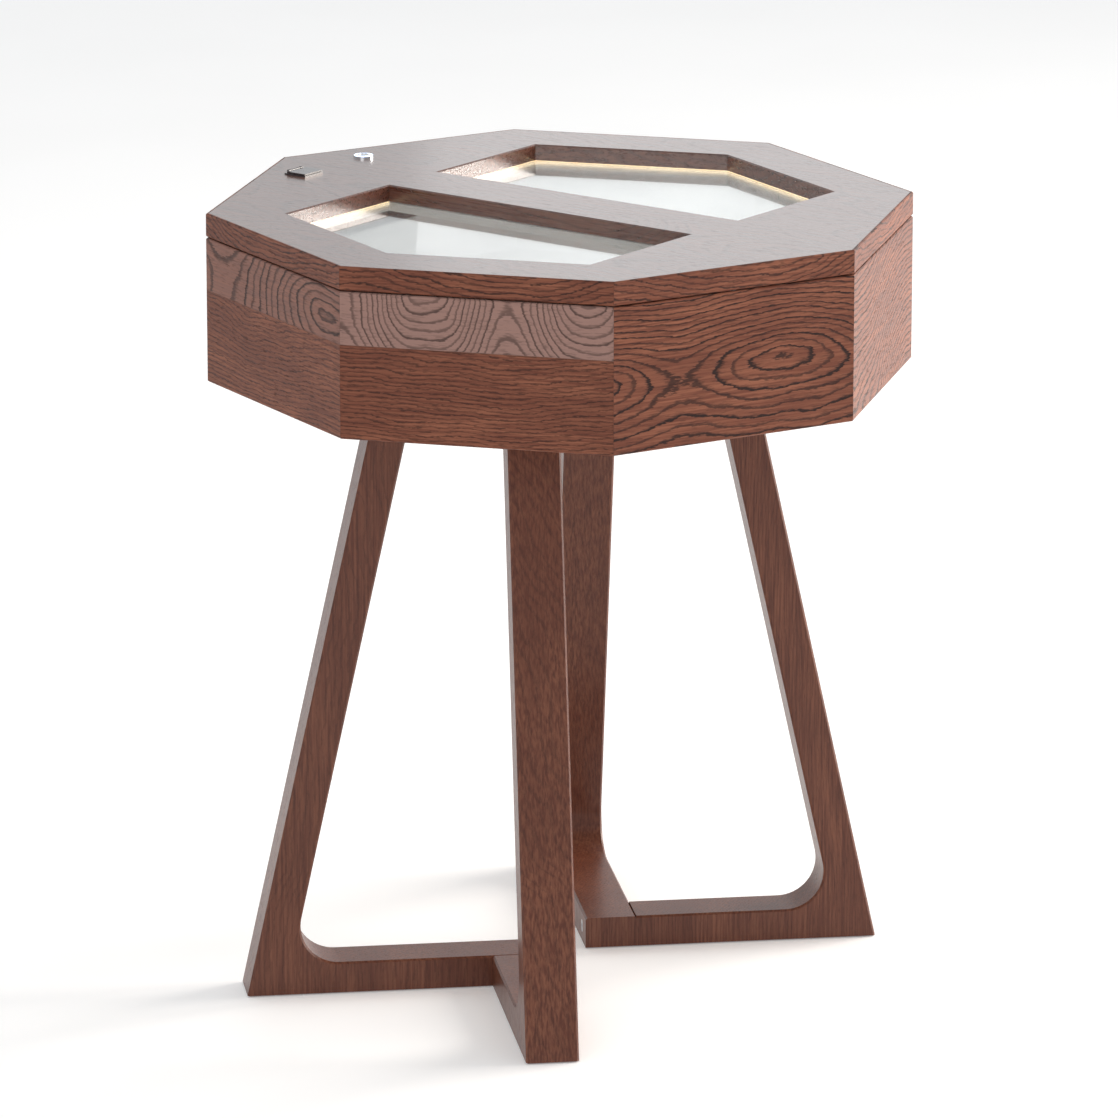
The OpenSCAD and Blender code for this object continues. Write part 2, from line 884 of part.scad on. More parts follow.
module control_board() {
    color(board_green) in_lid_axes() translate([board_x, board_y, board_z0]) {
        translate([-board_l / 2, -board_w / 2, 0]) cube([board_l, board_w, board_t]);
        translate([-4, -4, board_t]) cube([8, 8, 1.4]);
        translate([-9, 12, board_t]) cube([6, 10, 3]);
        translate([4, -22, board_t]) cube([5, 7, 2.5]);
    }
}

module battery_pack() {
    color(steel) in_lid_axes()
        translate([battery_x - battery_l / 2, battery_y - battery_w / 2, lid_z0 - battery_t])
        cube([battery_l, battery_w, battery_t]);
}

module at_button() {
    in_lid_axes() translate([control_x, control_side, lid_z1]) children();
}

module button_bezel() {
    color(steel) at_button() difference() {
        union() {
            translate([0, 0, -barrel_l]) cylinder(h = barrel_l + flange_t, r = barrel_button_r);
            cylinder(h = flange_t + ring_h - 0.1, r = button_r);
        }
        translate([0, 0, -barrel_l - 1]) cylinder(h = barrel_l + 1, r = barrel_bore_r);
        translate([0, 0, -1]) cylinder(h = flange_t + 2, r = flange_in_r);
        translate([0, 0, flange_t]) cylinder(h = ring_h + 1, r = button_r - rim_t);
    }
}

module button_light_ring() {
    color(cool_light) at_button() translate([0, 0, flange_t]) difference() {
        cylinder(h = ring_h, r = button_r - rim_t - 0.05);
        translate([0, 0, -1]) cylinder(h = ring_h + 2, r = flange_in_r + 0.1);
    }
}

module button_nut() {
    color(steel) at_button() translate([0, 0, -lid_t - nut_t]) difference() {
        cylinder(h = nut_t, r = nut_r, $fn = 6);
        translate([0, 0, -1]) cylinder(h = nut_t + 2, r = barrel_button_r);
    }
}

module switch_body() {
    color(black_plastic) at_button() translate([0, 0, switch_z1 - lid_z1 - switch_l]) {
        cylinder(h = switch_l, r = barrel_bore_r);
        for (x = [-2.5, 2.5]) {
            translate([x - 0.3, -1, -2]) cube([0.6, 2, 2.5]);
        }
    }
}

module power_button() {
    top = flange_t + cap_rise;
    foot = switch_z1 - lid_z1 + button_travel + rest_gap;
    color(steel) at_button() difference() {
        union() {
            translate([0, 0, -1.2]) cylinder(h = top + 1.2 - 0.4, r = cap_r);
            translate([0, 0, top - 0.4]) cylinder(h = 0.4, r1 = cap_r, r2 = cap_r - 0.4);
            translate([0, 0, foot]) cylinder(h = -foot, r = stem_r);
        }
        translate([0, 0, top - 0.3]) cylinder(h = 1, r = cap_r - 1.6);
    }
}

module at_port() {
    in_lid_axes() translate([port_x, port_y, lid_z1]) children();
}

module port_housing() {
    color(black_plastic) at_port() difference() {
        union() {
            translate([-port_l / 2, -port_w / 2, 0]) cube([port_l, port_w, port_flange_t]);
            translate([-port_body_l / 2, -port_body_w / 2, -port_body_h])
                cube([port_body_l, port_body_w, port_body_h + port_flange_t / 2]);
            for (side = [-1, 1]) {
                y0 = side > 0 ? ear_in : -ear_out;
                translate([knuckle_x, y0, knuckle_z - lid_z1]) rotate([-90, 0, 0])
                    cylinder(h = ear_out - ear_in, r = knuckle_r);
                translate([knuckle_x - knuckle_r, y0, port_flange_t / 2])
                    cube([2 * knuckle_r, ear_out - ear_in, knuckle_r + port_flange_t / 2]);
            }
        }
        translate([-socket_t / 2, -socket_w / 2, port_flange_t - socket_drop - socket_h])
            cube([socket_t, socket_w, socket_h + socket_drop + 1]);
        port_pin_shape(0);
    }
}

module port_pin_shape(fit) {
    translate([knuckle_x, -ear_out, knuckle_z - lid_z1]) rotate([-90, 0, 0])
        cylinder(h = 2 * ear_out, r = port_pin_r + fit);
}

module usb_socket() {
    tongue_l = socket_h - 1.5;
    wall = 2 * socket_wall;
    color(steel) at_port() translate([0, 0, port_flange_t - socket_drop - socket_h]) {
        difference() {
            translate([-socket_t / 2, -socket_w / 2, 0]) cube([socket_t, socket_w, socket_h]);
            translate([(wall - socket_t) / 2, (wall - socket_w) / 2, 1])
                cube([socket_t - wall, socket_w - wall, socket_h]);
        }
        translate([-0.35, -3.35, 0.5]) cube([0.7, 6.7, tongue_l - 0.5]);
    }
}

module port_pin() {
    color(steel) at_port() port_pin_shape(0);
}

module port_cover() {
    z0 = port_flange_t + cover_gap;
    back = knuckle_x + knuckle_r + 0.3;
    front = port_l / 2 - 0.3;
    half = port_w / 2 - 0.3;
    strap = ear_in - 0.3;
    color(black_plastic) at_port() difference() {
        union() {
            translate([back, -half, z0]) cube([front - back, 2 * half, cover_t]);
            translate([knuckle_x, -strap, z0]) cube([back - knuckle_x + 1, 2 * strap, cover_t]);
            translate([knuckle_x, -strap, knuckle_z - lid_z1]) rotate([-90, 0, 0])
                cylinder(h = 2 * strap, r = knuckle_r - knuckle_fit);
        }
        port_pin_shape(pin_fit);
    }
}

// ---------------------------------------------------------------- parts list

for (i = [1:8]) {
    side_panel(i);
}
mitre_keys();
corner_blocks();
bottom_panel();
floor_battens();
display_floor();
wall_lining();
for (n = [0:3]) {
    leg_frame(n);
}
corner_dowels();
corner_screws();
leg_inserts();
leg_plates();
leg_bolts();
floor_glides();
box_hinge_leaves();
hinge_pins();
box_hinge_screws();
lid_bumpers();
catch_magnet();
lid_panel();
lid_edging();
glass(true);  // front_glass
glass(false);  // rear_glass
glass_beads(true);  // front_glass_beads
glass_beads(false);  // rear_glass_beads
diffuser(true);  // front_diffuser
diffuser(false);  // rear_diffuser
led_strip(true);  // front_led_strip
led_strip(false);  // rear_led_strip
bead_screws();
led_leads();
lid_hinge_leaves();
lid_hinge_screws();
catch_plate();
control_housing();
housing_screws();
control_board();
battery_pack();
button_bezel();
button_light_ring();
button_nut();
switch_body();
power_button();
port_housing();
usb_socket();
port_pin();
port_cover();
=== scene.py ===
# %% [markdown]
# # An octagonal side table with lit glass windows
#
# The table is a walnut-stained box on four L-shaped legs. Its lid is hinged, and two glass
# windows in the lid look down on a pale display floor. A warm light line runs round the outer
# edges of each window, and a push button and a covered charging port stand beside them.
#
# The engineering model already holds every board, screw and pane at its real size. So this
# lesson leaves the shapes alone and spends its effort on what makes them look real: stained
# open-pored wood, lacquer, glass and small glowing parts.

import math

import bpy
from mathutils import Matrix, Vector


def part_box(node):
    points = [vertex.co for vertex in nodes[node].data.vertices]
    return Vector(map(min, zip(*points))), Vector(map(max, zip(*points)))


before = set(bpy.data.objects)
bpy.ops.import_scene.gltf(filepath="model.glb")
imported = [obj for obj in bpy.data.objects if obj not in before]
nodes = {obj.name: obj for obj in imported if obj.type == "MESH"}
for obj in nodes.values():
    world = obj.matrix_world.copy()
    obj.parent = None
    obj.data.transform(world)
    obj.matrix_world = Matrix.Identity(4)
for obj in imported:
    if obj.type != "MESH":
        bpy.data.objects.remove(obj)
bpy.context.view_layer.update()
scene = bpy.context.scene

# %% [markdown]
# ## Where things are
#
# Every place below comes from the model itself: the lid's top and the corners of the octagon
# are read from the pieces' boxes. The octagon has a corner on each of the X and Y axes, so
# the reach of the lid's edge along X is the distance to a corner.

# %% Measure the octagon and its levels
CORNER_TURN = math.radians(45)
edge_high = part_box("lid_edging")[1]
corner_reach = edge_high.x
flat_reach = corner_reach * math.cos(CORNER_TURN / 2)
lid_top = edge_high.z
box_low, box_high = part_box("side_panel_1")
board_height = box_high.z - box_low.z
print(f"corner reach {corner_reach:.3f} m, lid top {lid_top:.3f} m, boards {board_height:.3f} m high")


def side_angle(number):
    """The direction that side board 1 to 8 faces, in radians."""
    return CORNER_TURN * (number - 0.5)


# %% [markdown]
# ## The camera
#
# A long lens from six metres away keeps the table's lines almost parallel, as in a catalogue.
# The camera could be given three coordinates and three angles. It is placed instead by a turn
# and a rise round the point it looks at, which are easier to picture and to change.

# %% Place the camera
AIM = Vector((-0.002, 0.0, 0.321))
CAMERA_DISTANCE = 6.13
CAMERA_TURN = math.radians(-8.03)
CAMERA_RISE = math.radians(15.03)
LENS_MM = 258.1
SENSOR_MM = 36
FAR_ENOUGH = 60

back = Vector((
    math.sin(CAMERA_TURN) * math.cos(CAMERA_RISE),
    -math.cos(CAMERA_TURN) * math.cos(CAMERA_RISE),
    math.sin(CAMERA_RISE),
))
camera_data = bpy.data.cameras.new("camera")
camera_data.lens = LENS_MM
camera_data.sensor_width = SENSOR_MM
camera_data.clip_end = FAR_ENOUGH
camera = bpy.data.objects.new("camera", camera_data)
camera.location = AIM + back * CAMERA_DISTANCE
camera.rotation_mode = "QUATERNION"
camera.rotation_quaternion = (-back).to_track_quat("-Z", "Y")
scene.collection.objects.link(camera)
scene.camera = camera
print("camera at", camera.location)

# %% [markdown]
# ## A small language for materials
#
# Node materials get long. The class below keeps them readable: most of its methods add a
# node, wire what they are given, whether a number or another node's output, and hand back the
# new output. Materials could also be wired by hand, node by node, but then the thought behind
# a finish is lost among links.

# %% A helper that wires node trees


class Net:
    """Adds nodes to one tree. Most methods hand back the new node's output, or its outputs."""

    def __init__(self, tree):
        self.tree = tree

    def node(self, kind, **settings):
        """A new node of one kind, with settings such as its operation."""
        made = self.tree.nodes.new(kind)
        for key, value in settings.items():
            setattr(made, key, value)
        return made

    def feed(self, socket, value):
        """Wires an output into a socket, or sets a plain number or colour on it."""
        if value is None:
            return
        if isinstance(value, bpy.types.NodeSocket):
            self.tree.links.new(value, socket)
        else:
            socket.default_value = value

    def math(self, operation, first, second=None):
        made = self.node("ShaderNodeMath", operation=operation)
        self.feed(made.inputs[0], first)
        self.feed(made.inputs[1], second)
        return made.outputs[0]

    def add(self, first, second):
        return self.math("ADD", first, second)

    def subtract(self, first, second):
        return self.math("SUBTRACT", first, second)

    def times(self, first, second):
        return self.math("MULTIPLY", first, second)

    def smooth(self, value, low, high, to_low=0.0, to_high=1.0):
        """A soft step from to_low to to_high as value goes from low to high."""
        made = self.node("ShaderNodeMapRange", interpolation_type="SMOOTHSTEP")
        for label, item in (
            ("Value", value), ("From Min", low), ("From Max", high),
            ("To Min", to_low), ("To Max", to_high),
        ):
            self.feed(made.inputs[label], item)
        return made.outputs["Result"]

    def mix(self, share, first, second):
        """Colour first where share is 0, second where it is 1."""
        made = self.node("ShaderNodeMix", data_type="RGBA")
        self.feed(made.inputs["Factor"], share)
        colours = [s for s in made.inputs if s.type == "RGBA"]
        self.feed(colours[0], first)
        self.feed(colours[1], second)
        return next(s for s in made.outputs if s.type == "RGBA")

    def noise(self, vector, scale=1.0, detail=2.0, seed=None):
        """Soft noise. A seed picks another stretch of it, so that two boards differ."""
        made = self.node("ShaderNodeTexNoise", noise_dimensions="3D" if seed is None else "4D")
        self.feed(made.inputs["Vector"], vector)
        self.feed(made.inputs["Scale"], scale)
        self.feed(made.inputs["Detail"], detail)
        if seed is not None:
            self.feed(made.inputs["W"], seed)
        return made.outputs

    def stretch(self, vector, x, y, z):
        """The vector with each of its axes multiplied by a number."""
        made = self.node("ShaderNodeVectorMath", operation="MULTIPLY")
        self.feed(made.inputs[0], vector)
        made.inputs[1].default_value = (x, y, z)
        return made.outputs[0]

    def turn(self, vector, angle):
        """The vector turned about +Z by angle, a number or an output, in radians."""
        made = self.node("ShaderNodeVectorRotate", rotation_type="Z_AXIS")
        self.feed(made.inputs["Vector"], vector)
        self.feed(made.inputs["Angle"], angle)
        return made.outputs[0]

    def split(self, vector):
        made = self.node("ShaderNodeSeparateXYZ")
        self.feed(made.inputs[0], vector)
        return made.outputs

    def join(self, x, y, z):
        made = self.node("ShaderNodeCombineXYZ")
        for socket, value in zip(made.inputs, (x, y, z)):
            self.feed(socket, value)
        return made.outputs[0]

    def place(self):
        """Where a point is on the piece, in metres, in the table's own axes."""
        return self.node("ShaderNodeTexCoord").outputs["Object"]

    def use(self, group, **values):
        """Places a shared group and feeds it by its input names, with _ for a space."""
        made = self.node("ShaderNodeGroup", node_tree=group)
        for label, value in values.items():
            self.feed(made.inputs[label.replace("_", " ")], value)
        return made.outputs


print("node tree helper ready")

# %% [markdown]
# ## Groups, materials and relief
#
# An effect that several finishes share, such as wood grain, is built once as a node group and
# placed in each material. A number that is the same all over a piece, such as the strength of
# its lacquer, is set on the material's own shader instead, where it's easy to find.

# %% Make groups and materials


def new_group(name, inputs, outputs):
    """A shared shader group. Returns its net, its inputs and its outputs."""
    tree = bpy.data.node_groups.new(name, "ShaderNodeTree")
    for label, kind, value in inputs:
        socket = tree.interface.new_socket(label, in_out="INPUT", socket_type=kind)
        if value is not None:
            socket.default_value = value
    for label in outputs:
        tree.interface.new_socket(label, in_out="OUTPUT", socket_type="NodeSocketFloat")
    net = Net(tree)
    return net, net.node("NodeGroupInput").outputs, net.node("NodeGroupOutput").inputs


def new_material(name, **numbers):
    """A material with one Principled shader, and plain numbers set on its own sockets."""
    material = bpy.data.materials.new(name)
    material.use_nodes = True
    shader = material.node_tree.nodes["Principled BSDF"]
    for label, value in numbers.items():
        shader.inputs[label.replace("_", " ")].default_value = value
    return material, Net(material.node_tree), shader.inputs


def bump(net, shader, height, depth):
    """Pushes the surface in and out by up to depth metres where height goes from 0 to 1."""
    made = net.node("ShaderNodeBump")
    made.inputs["Strength"].default_value = 1.0
    made.inputs["Distance"].default_value = depth
    net.feed(made.inputs["Height"], height)
    net.feed(shader["Normal"], made.outputs["Normal"])


def paint(material, *names):
    """Gives a material to every slot of the named pieces."""
    for name in names:
        slots = nodes[name].material_slots
        if not slots:
            nodes[name].data.materials.append(material)
        for slot in nodes[name].material_slots:
            slot.material = material


print("group and material helpers ready")

# %% [markdown]
# ## Sawn wood as one shared group
#
# A board is a slice through a log, so its figure is the log's rings cut by a plane. The group
# works that way: it measures the distance from a heart that lies behind the face, and draws a
# dark line once per ring. The heart also rises towards the face and sinks again along the
# board, as in a trunk that isn't quite straight. Where it comes near, the rings open into
# ovals and arches; where it is far away, they run straight. Lean crowds the rings on one side
# of the heart, as wind does to a tree. Fine pores and fibres, stretched along the grain, go on
# top. A picture of wood would repeat and would stop at the corners, while this figure carries
# on round every edge.
#
# Lengths are in metres. The noises are stretched along the board, so each has a count of
# patches per metre along it and another, much higher, across it.

# %% The wood group's inputs and its sizes
SLOW_BEND = (9.0, 6.0)
RIPPLE = (34.0, 60.0, 60.0)
RIPPLE_DEPTH = 0.0065
JAG = (190.0, 950.0, 950.0)
JAG_DEPTH = 0.0026
PORES = (110.0, 900.0, 900.0)
FIBRES = (20.0, 640.0, 640.0)
TONES = (7.0, 24.0, 24.0)
SEED_STEP = 3.71
WANDER_IN_DEPTH = 1.6

net, given, out = new_group(
    "sawn_wood",
    [
        ("Vector", "NodeSocketVector", None),
        ("Seed", "NodeSocketFloat", 0.0),
        ("Heart Along", "NodeSocketFloat", 0.0),
        ("Heart Height", "NodeSocketFloat", 0.0),
        ("Heart Depth", "NodeSocketFloat", 0.05),
        ("Heart Rise", "NodeSocketFloat", 0.0),
        ("Heart Gap", "NodeSocketFloat", 0.2),
        ("Lean", "NodeSocketFloat", 0.2),
        ("Wander", "NodeSocketFloat", 0.02),
        ("Ring Width", "NodeSocketFloat", 0.005),
    ],
    ["Line", "Pore", "Fibre", "Tone"],
)
sawn_wood = net.tree
print("sawn_wood takes", ", ".join(socket.name for socket in given if socket.name))

# %% Measure the distance from the log's heart
along, across, depth = net.split(given["Vector"])
seed = net.times(given["Seed"], SEED_STEP)
slow_place = net.join(net.times(along, SLOW_BEND[0]), seed, net.times(across, SLOW_BEND[1]))
slow = net.noise(slow_place, detail=1.0)
slow_y, slow_z, _ = net.split(slow["Color"])
wander_y = net.times(net.subtract(slow_y, 0.5), given["Wander"])
wander_z = net.times(net.subtract(slow_z, 0.5), net.times(given["Wander"], WANDER_IN_DEPTH))
hearts_along = net.math("DIVIDE", net.subtract(along, given["Heart Along"]), given["Heart Gap"])
swing = net.math("COSINE", net.times(hearts_along, math.tau))
sink = net.times(net.subtract(1.0, swing), net.times(given["Heart Rise"], 0.5))
from_heart_y = net.add(net.subtract(across, given["Heart Height"]), wander_y)
from_heart_z = net.add(net.add(net.subtract(given["Heart Depth"], depth), sink), wander_z)
distance = net.math("SQRT", net.add(
    net.math("POWER", from_heart_y, 2.0), net.math("POWER", from_heart_z, 2.0)))
distance = net.add(distance, net.times(from_heart_y, given["Lean"]))
print("heart distance ready,", len(sawn_wood.nodes), "nodes so far")

# %% Draw the ring lines, the pores and the fibres
# Where in a year's ring, from 0 to 1, the line darkens and ends, and the pores gather
LINE_DARKENS = (0.58, 0.82)
LINE_ENDS = (0.92, 1.0)
PORES_GATHER = (0.10, 0.95)
FEWEST_PORES = 0.30
PORE_CUT = (0.53, 0.64)
GOOD_YEAR_STEP = 2.4
PALEST_LINE = 0.70


def grain(counts, detail):
    """Noise stretched along the board, with its patches per metre along and across it."""
    return net.noise(net.stretch(given["Vector"], *counts), detail=detail, seed=seed)["Fac"]


ripple = grain(RIPPLE, 2.0)
jag = grain(JAG, 2.0)
distance = net.add(distance, net.times(net.subtract(ripple, 0.5), RIPPLE_DEPTH))
distance = net.add(distance, net.times(net.subtract(jag, 0.5), JAG_DEPTH))
rings = net.math("DIVIDE", distance, given["Ring Width"])
phase = net.math("FRACT", rings)
good_years = net.math("SINE", net.times(net.math("FLOOR", rings), GOOD_YEAR_STEP))
weight = net.smooth(good_years, -1.0, 1.0, PALEST_LINE, 1.0)
line = net.times(net.smooth(phase, *LINE_DARKENS), net.smooth(phase, *LINE_ENDS, 1.0, 0.0))
crowd = net.smooth(phase, *PORES_GATHER, FEWEST_PORES, 1.0)
net.feed(out["Line"], net.times(line, weight))
net.feed(out["Pore"], net.times(net.smooth(grain(PORES, 2.0), *PORE_CUT), crowd))
net.feed(out["Fibre"], grain(FIBRES, 3.0))
net.feed(out["Tone"], grain(TONES, 3.0))
print("sawn_wood has", len(sawn_wood.nodes), "nodes")

# %% [markdown]
# ## Walnut stain and satin lacquer
#
# The stain sinks into the pores and the dark ring lines, and a thin satin lacquer follows the
# open grain. One function turns the group's masks into colour, roughness and a little relief.
# Boards differ in tone, so each can be made paler or darker. On the side boards the paler share also
# carries painted sheen: the greyish shine that light lays on the upper boards is painted into their
# colour, and it thins their ring lines. Pale, deep, lines and pores are shares from 0 to 1, gloss is
# the roughness between the pores, and relief is a depth in metres.

# %% Turn the wood masks into a finish
STAIN_LIGHT = (0.282, 0.101, 0.055, 1)
STAIN_MIDDLE = (0.138, 0.040, 0.022, 1)
STAIN_DARK = (0.012, 0.003, 0.002, 1)
# Paler board tone, which on the upper side boards is also painted sheen
PALE_TONE_AND_SHEEN = (0.310, 0.185, 0.155, 1)
SATIN = 0.22
BOLD_LINES = 0.97
QUIET_LINES = 0.66
TONE_SHARE = 0.55
# How far the painted sheen on paler boards thins the ring lines
SHEEN_HIDES_INK = 0.3
PORE_ROUGHNESS = 0.16
FIBRE_ROUGHNESS = 0.05
LINE_DIP = 0.35
PORE_DIP = 0.5
OPEN_GRAIN = 0.00022


def stain(
    net, shader, wood, pale=0.0, deep=0.0, lines=BOLD_LINES, pores=0.62, gloss=0.42,
    relief=OPEN_GRAIN,
):
    """Colours and finishes one wood surface from the sawn wood group's masks."""
    fibre = net.smooth(wood["Fibre"], 0.32, 0.68)
    tone = net.smooth(wood["Tone"], 0.34, 0.66)
    body = net.mix(fibre, STAIN_MIDDLE, STAIN_LIGHT)
    body = net.mix(net.times(tone, TONE_SHARE), body, STAIN_MIDDLE)
    # Painted sheen as well as board tone: the paler share lightens the board towards a greyish colour
    body = net.mix(pale, body, PALE_TONE_AND_SHEEN)
    body = net.mix(deep, body, STAIN_DARK)
    ink = net.math("MAXIMUM", net.times(wood["Line"], lines), net.times(wood["Pore"], pores))
    ink = net.times(ink, net.subtract(1.0, net.times(pale, SHEEN_HIDES_INK)))
    net.feed(shader["Base Color"], net.mix(ink, body, STAIN_DARK))
    rough = net.add(net.times(wood["Pore"], PORE_ROUGHNESS), net.times(fibre, FIBRE_ROUGHNESS))
    net.feed(shader["Roughness"], net.add(rough, gloss))
    dips = net.add(net.times(wood["Line"], LINE_DIP), net.times(wood["Pore"], PORE_DIP))
    bump(net, shader, net.subtract(1.0, dips), relief)


print("stain ready, relief up to", OPEN_GRAIN * 1000, "mm")

# %% [markdown]
# ## The eight side boards
#
# Half of the sides are one wide board. The others are two boards glued edge to edge, the joint
# about a third of the way down, and each board comes from a different part of the log. A maker
# picks boards for their figure, so they are named by it here: an oval one for the show face, a
# flamed one with rows of arches, a knotted one with a tight eye, a straight one with fine quiet
# lines, and a swept one that curves down to one side. A short table says which side gets which.

# %% Describe the boards by their figure
OVAL = dict(
    Heart_Along=0.043, Heart_Height=0.0, Heart_Depth=0.004, Heart_Rise=0.021,
    Heart_Gap=0.166, Lean=0.25, Wander=0.012, Ring_Width=0.0048,
)
FLAMED = dict(
    Heart_Along=0.087, Heart_Height=0.066, Heart_Depth=0.006, Heart_Rise=0.072,
    Heart_Gap=0.125, Lean=0.10, Wander=0.026, Ring_Width=0.0058,
)
KNOTTED = dict(
    Heart_Along=0.085, Heart_Height=0.034, Heart_Depth=0.008, Heart_Rise=0.075,
    Heart_Gap=0.330, Lean=0.15, Wander=0.022, Ring_Width=0.0062,
)
STRAIGHT = dict(
    Heart_Along=0.0, Heart_Height=0.120, Heart_Depth=0.040, Heart_Rise=0.020,
    Heart_Gap=0.310, Lean=0.20, Wander=0.020, Ring_Width=0.0026,
)
SWEPT = dict(
    Heart_Along=0.130, Heart_Height=-0.080, Heart_Depth=0.010, Heart_Rise=0.090,
    Heart_Gap=0.420, Lean=0.10, Wander=0.020, Ring_Width=0.0046,
)
print("finest rings", STRAIGHT["Ring_Width"], "m, widest", KNOTTED["Ring_Width"], "m")

# %% Stain the side boards
# Seed, upper board, how pale it is, lower board, how pale it is; the paleness of the upper boards is
# partly painted sheen
SIDES = {
    1: (1, STRAIGHT, 0.10, OVAL, 0.00),
    2: (4, OVAL, 0.00, OVAL, 0.00),
    3: (7, FLAMED, 0.45, STRAIGHT, 0.00),
    4: (10, SWEPT, 0.10, SWEPT, 0.10),
    5: (13, KNOTTED, 0.35, STRAIGHT, 0.00),
    # Side 6 faces the front, and its very pale upper board is painted sheen
    6: (16, FLAMED, 0.86, STRAIGHT, 0.00),
    7: (19, OVAL, 0.00, OVAL, 0.00),
    8: (22, SWEPT, 0.10, SWEPT, 0.10),
}
UPPER_SHARE = 0.36
GLUE_LINE = box_high.z - UPPER_SHARE * board_height
GLUE_SOFTNESS = 0.0004
BOARD_MIDDLE = (box_low.z + box_high.z) / 2


def side_board(number):
    """The finish of one side. Two boards meet at the glue line where the table names two."""
    seed, upper, upper_pale_and_sheen, lower, lower_pale_and_sheen = SIDES[number]
    material, net, shader = new_material(f"walnut_side_{number}", Specular_IOR_Level=SATIN)
    out_from_middle, along, height = net.split(net.turn(net.place(), -side_angle(number)))
    glued = 0.0 if upper is lower else 1.0
    is_upper = net.smooth(height, GLUE_LINE - GLUE_SOFTNESS, GLUE_LINE + GLUE_SOFTNESS, 0.0, glued)

    def choose(low, high):
        """One number where the boards agree, or a step from the lower to the upper board."""
        if low == high:
            return low
        return net.smooth(is_upper, 0.0, 1.0, low, high)

    board = net.join(
        along,
        net.subtract(height, BOARD_MIDDLE),
        net.subtract(out_from_middle, flat_reach),
    )
    figure = {label: choose(lower[label], upper[label]) for label in upper}
    wood = net.use(sawn_wood, Vector=board, Seed=choose(seed + 0.5, seed), **figure)
    lines = choose(QUIET_LINES if lower is STRAIGHT else BOLD_LINES, BOLD_LINES)
    # The pale share brings in painted sheen as well as board tone
    stain(net, shader, wood, pale=choose(lower_pale_and_sheen, upper_pale_and_sheen), lines=lines)
    return material


for number in SIDES:
    paint(side_board(number), f"side_panel_{number}")
print("side boards stained, glue line at", round(GLUE_LINE, 3))

# %% [markdown]
# ## The lid
#
# The lid's panel is glued from planks that run the same way as its centre bar, so the figure
# is turned by an eighth of a circle. Its edge strips run along each side instead. They are
# one node in the model, so the material finds out which side a point belongs to from its
# direction round the octagon, and turns the grain to match.

# %% Stain the lid and its edge strips
PLANK_WIDTH = 0.088
FIRST_LID_SEED = 31.0
FIRST_EDGE_SEED = 57.0
LACQUER = 1.0
LACQUER_ROUGHNESS = 0.18


def lid_wood():
    material, net, shader = new_material(
        "walnut_lid", Coat_Weight=LACQUER, Coat_Roughness=LACQUER_ROUGHNESS)
    along, across, height = net.split(net.turn(net.place(), CORNER_TURN))
    plank = net.math("FLOOR", net.math("DIVIDE", across, PLANK_WIDTH))
    middle = net.times(net.add(plank, 0.5), PLANK_WIDTH)
    board = net.join(along, net.subtract(across, middle), net.subtract(height, lid_top))
    wood = net.use(
        sawn_wood, Vector=board, Seed=net.add(plank, FIRST_LID_SEED), Heart_Height=0.02,
        Heart_Depth=0.030, Heart_Rise=0.03, Heart_Gap=0.35, Wander=0.030, Ring_Width=0.0055,
    )
    stain(net, shader, wood, deep=0.42, lines=0.40, pores=0.20, gloss=0.26, relief=0.00004)
    return material


def edge_wood():
    material, net, shader = new_material("walnut_edging", Specular_IOR_Level=SATIN)
    place = net.place()
    x, y, _ = net.split(place)
    turns = net.math("DIVIDE", net.math("ARCTAN2", y, x), CORNER_TURN)
    side = net.math("FLOOR", turns)
    out_from_middle, along, height = net.split(
        net.turn(place, net.times(net.add(side, 0.5), -CORNER_TURN)))
    board = net.join(
        along,
        net.subtract(height, lid_top),
        net.subtract(out_from_middle, flat_reach),
    )
    wood = net.use(
        sawn_wood, Vector=board, Seed=net.add(side, FIRST_EDGE_SEED), Heart_Height=0.050,
        Heart_Depth=0.020, Heart_Rise=0.03, Heart_Gap=0.30, Wander=0.022, Ring_Width=0.0032,
    )
    stain(net, shader, wood, lines=0.8)
    return material


paint(lid_wood(), "lid_panel")
paint(edge_wood(), "lid_edging")
print("lid stained")

# %% [markdown]
# ## The legs
#
# The leg frames are sawn from wide boards with the grain upright, even through the foot bars.
# Their grain is finer than the box's, and the colour more even. A thin coat of lacquer lets the
# floor and the window show along their edges.

# %% Stain the leg frames
LEG_LACQUER = 0.25
LEG_LACQUER_ROUGHNESS = 0.24
FIRST_LEG_SEED = 71
LEG_HEART = 0.30


def leg_wood(name, seed, heart):
    material, net, shader = new_material(
        f"walnut_{name}", Specular_IOR_Level=SATIN,
        Coat_Weight=LEG_LACQUER, Coat_Roughness=LEG_LACQUER_ROUGHNESS,
    )
    x, y, z = net.split(net.place())
    wood = net.use(
        sawn_wood, Vector=net.join(z, x, y), Seed=seed, Heart_Height=heart,
        Heart_Depth=0.32, Heart_Rise=0.02, Heart_Gap=0.60, Wander=0.020, Ring_Width=0.0030,
    )
    stain(net, shader, wood, deep=0.34, lines=0.26, pores=0.30, gloss=0.36, relief=0.00008)
    return material


for number, side in enumerate(("left", "right", "front", "rear")):
    name = f"{side}_leg_frame"
    heart = -LEG_HEART if number % 2 else LEG_HEART
    paint(leg_wood(name, FIRST_LEG_SEED + number, heart), name)
print("legs stained")

# %% [markdown]
# ## Hidden timber
#
# The bottom board shows from below and the rest only when the lid is up. They stay raw:
# rotary-cut plywood with a broad, cloudy figure, and pale beech for dowels and blocks.

# %% Raw plywood and beech
PLYWOOD_LIGHT = (0.56, 0.39, 0.24, 1)
PLYWOOD_DARK = (0.40, 0.25, 0.14, 1)
BEECH_LIGHT = (0.62, 0.42, 0.27, 1)
BEECH_DARK = (0.48, 0.30, 0.18, 1)
RAW_SEED = 90.0


